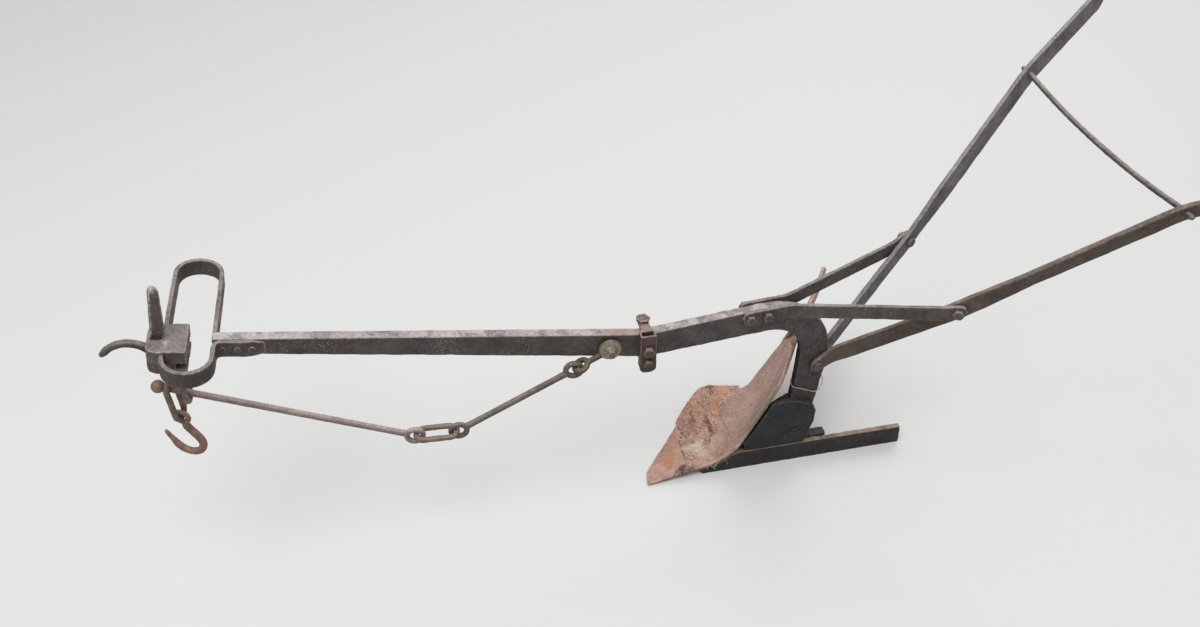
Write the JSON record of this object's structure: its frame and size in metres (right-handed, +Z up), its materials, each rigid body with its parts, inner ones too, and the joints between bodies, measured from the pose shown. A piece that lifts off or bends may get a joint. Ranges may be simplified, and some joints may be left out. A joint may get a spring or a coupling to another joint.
{
  "type": "moldboard plough",
  "caption": "Iron swing plough: share and moldboard under an arched beam, ring hake with sliding head, jointed draught rod and hook, handles with wooden grips.",
  "frame": {"origin": "on the sole of the landside bar, under the standard and in the middle of the bar's thickness", "axes": "-X forward, the way the plough is drawn; +Y towards the furrow, the side the moldboard turns the slice to; +Z up"},
  "size_m": [2.1052, 0.8248, 0.9179],
  "materials": {
    "beam_iron": "dark purplish brown, hammered, with a dusty top",
    "handle_iron": "dark grey-brown",
    "hake_iron": "grey-brown, worn bright on the wedge and the head",
    "rod_iron": "pale brown rust",
    "link_iron": "rusty brown",
    "clamp_iron": "rusty brown",
    "share_iron": "orange-brown rust under a crust of dried earth",
    "moldboard_iron": "pinkish grey-brown rust with a green tinge by the shin",
    "black_iron": "near black",
    "bolt_iron": "dark brown",
    "grip_wood": "weathered ash, bare"
  },
  "bodies": {
    "plough": {"beam": "beam_iron", "hake_ring": "hake_iron", "shackle": "link_iron", "eye_bolt": "clamp_iron", "coulter_clamp": "clamp_iron", "clamp_bolts": "clamp_iron", "share": "share_iron", "moldboard": "moldboard_iron", "frog": "black_iron", "frog_plate": "black_iron", "landside_bar": "black_iron", "moldboard_stay": "black_iron", "near_handle": "handle_iron", "far_handle": "handle_iron", "near_brace": "handle_iron", "far_brace": "handle_iron", "stretcher": "handle_iron", "near_grip": "grip_wood", "far_grip": "grip_wood", "brace_bolts": "bolt_iron", "near_handle_bolt": "bolt_iron", "far_handle_bolt": "bolt_iron", "foot_bolt": "bolt_iron", "frog_bolts": "bolt_iron"},
    "sliding_head": {"head": "hake_iron", "head_wedge": "hake_iron", "horn_hook": "hake_iron", "head_staple": "link_iron"},
    "rear_draught": {"rear_rod": "rod_iron", "middle_link": "link_iron"},
    "front_draught": {"front_rod": "rod_iron"},
    "swing_link": {"hanging_link": "link_iron"},
    "swing_hook": {"draught_hook": "link_iron"}
  },
  "joints": [
    {"name": "head_slide", "type": "slide", "parent": "plough", "child": "sliding_head", "axis": [0, 1, 0], "range_m": [-0.005, 0.155]},
    {"name": "rear_swing", "type": "hinge", "parent": "plough", "child": "rear_draught", "pos_m": [-0.48955, -0.0047, 0.37169], "axis": [-0.2999, -0.2999, 0.9056], "range_deg": [-12.4, 0.5]},
    {"name": "front_swing", "type": "hinge", "parent": "sliding_head", "child": "front_draught", "pos_m": [-1.18542, 0.00472, 0.43996], "axis": [0.2999, 0.2539, 0.9196], "range_deg": [-12.4, 0.5]},
    {"name": "link_swing", "type": "hinge", "parent": "front_draught", "child": "swing_link", "pos_m": [-1.21573, 0.00513, 0.45538], "axis": [-0.8912, 0.0121, 0.4534], "range_deg": [-30, 30]},
    {"name": "hook_swing", "type": "hinge", "parent": "swing_link", "child": "swing_hook", "pos_m": [-1.21573, 0.00513, 0.38543], "axis": [0.3871, 0.922, 0], "range_deg": [-20, 75]}
  ],
  "couplings": [
    {"joint": "rear_swing", "follows": "head_slide", "rad_per_m": -1.376},
    {"joint": "front_swing", "follows": "head_slide", "rad_per_m": -1.38}
  ]
}
